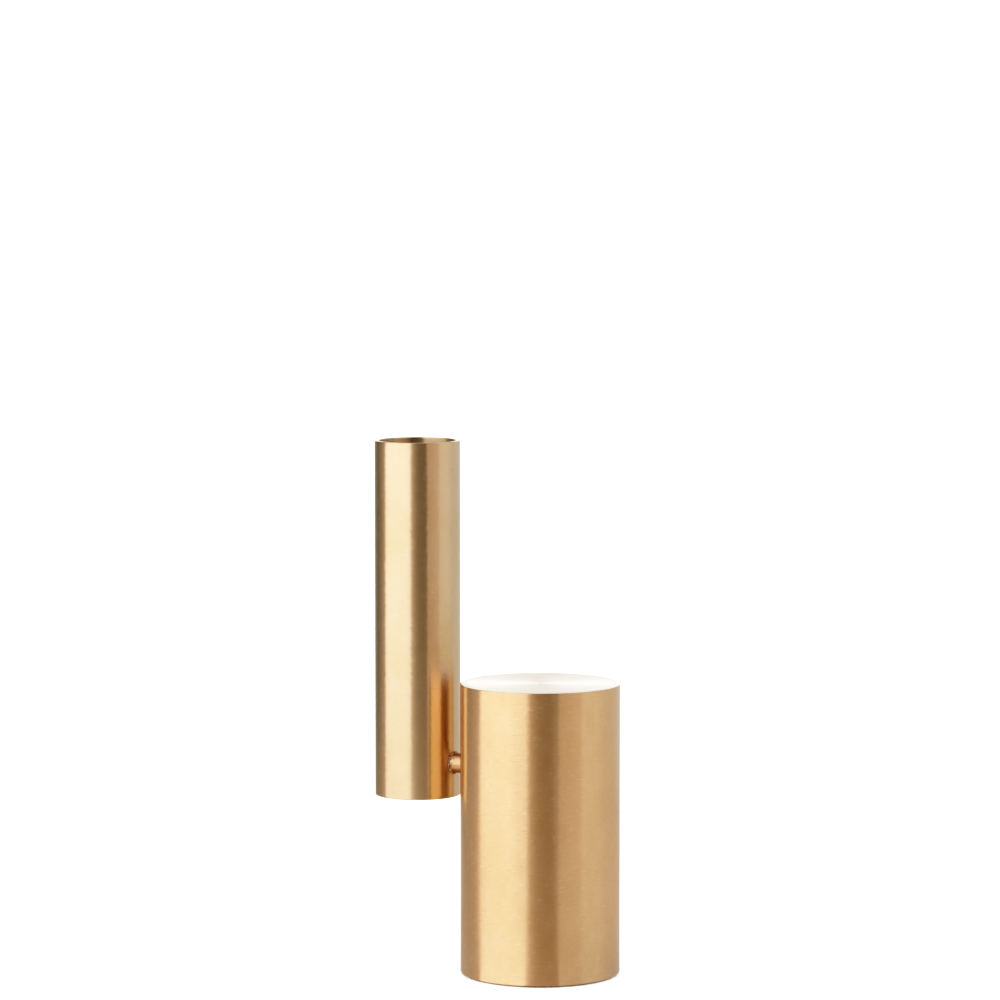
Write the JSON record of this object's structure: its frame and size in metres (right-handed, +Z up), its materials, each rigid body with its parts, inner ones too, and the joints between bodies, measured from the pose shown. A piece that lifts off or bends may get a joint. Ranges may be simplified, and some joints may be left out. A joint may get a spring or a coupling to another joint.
{
  "type": "candlestick vase",
  "caption": "Brushed brass flower vase: a slim open tube carried on a short pin beside a weighted cylinder that stands on a pad and has a flat top to seat a candle.",
  "frame": {"origin": "centre of the foot pad on the table plane, on the base cylinder's axis", "axes": "+Z up along the base cylinder's axis, -X towards the vase tube, X-Z is the plane of symmetry"},
  "size_m": [0.1165, 0.07, 0.2321],
  "materials": {
    "brushed_brass": "fine satin brushing running around the tube",
    "turned_brass": "lathe-faced with fine concentric marks",
    "pin_brass": "turned satin",
    "brazing_filler": "cleaned fillet, slightly uneven",
    "soft_solder": "dull silver fillet",
    "cast_iron": "as cast",
    "zinc_plated_steel": "zinc plated",
    "pad_felt": "dense black felt"
  },
  "bodies": {
    "root": {"base_tube": "brushed_brass", "base_top_disc": "turned_brass", "disc_braze_ring": "brazing_filler", "ballast_weight": "cast_iron", "base_plate": "zinc_plated_steel", "tie_screw": "zinc_plated_steel", "tie_sleeve": "zinc_plated_steel", "foot_pad": "pad_felt", "saddle_washer": "turned_brass", "lock_washer": "zinc_plated_steel", "connector_screw": "zinc_plated_steel", "connector_pin": "pin_brass", "pin_braze_fillet": "brazing_filler", "vase_tube": "brushed_brass", "vase_floor": "turned_brass", "floor_solder_ring": "soft_solder"}
  },
  "joints": []
}
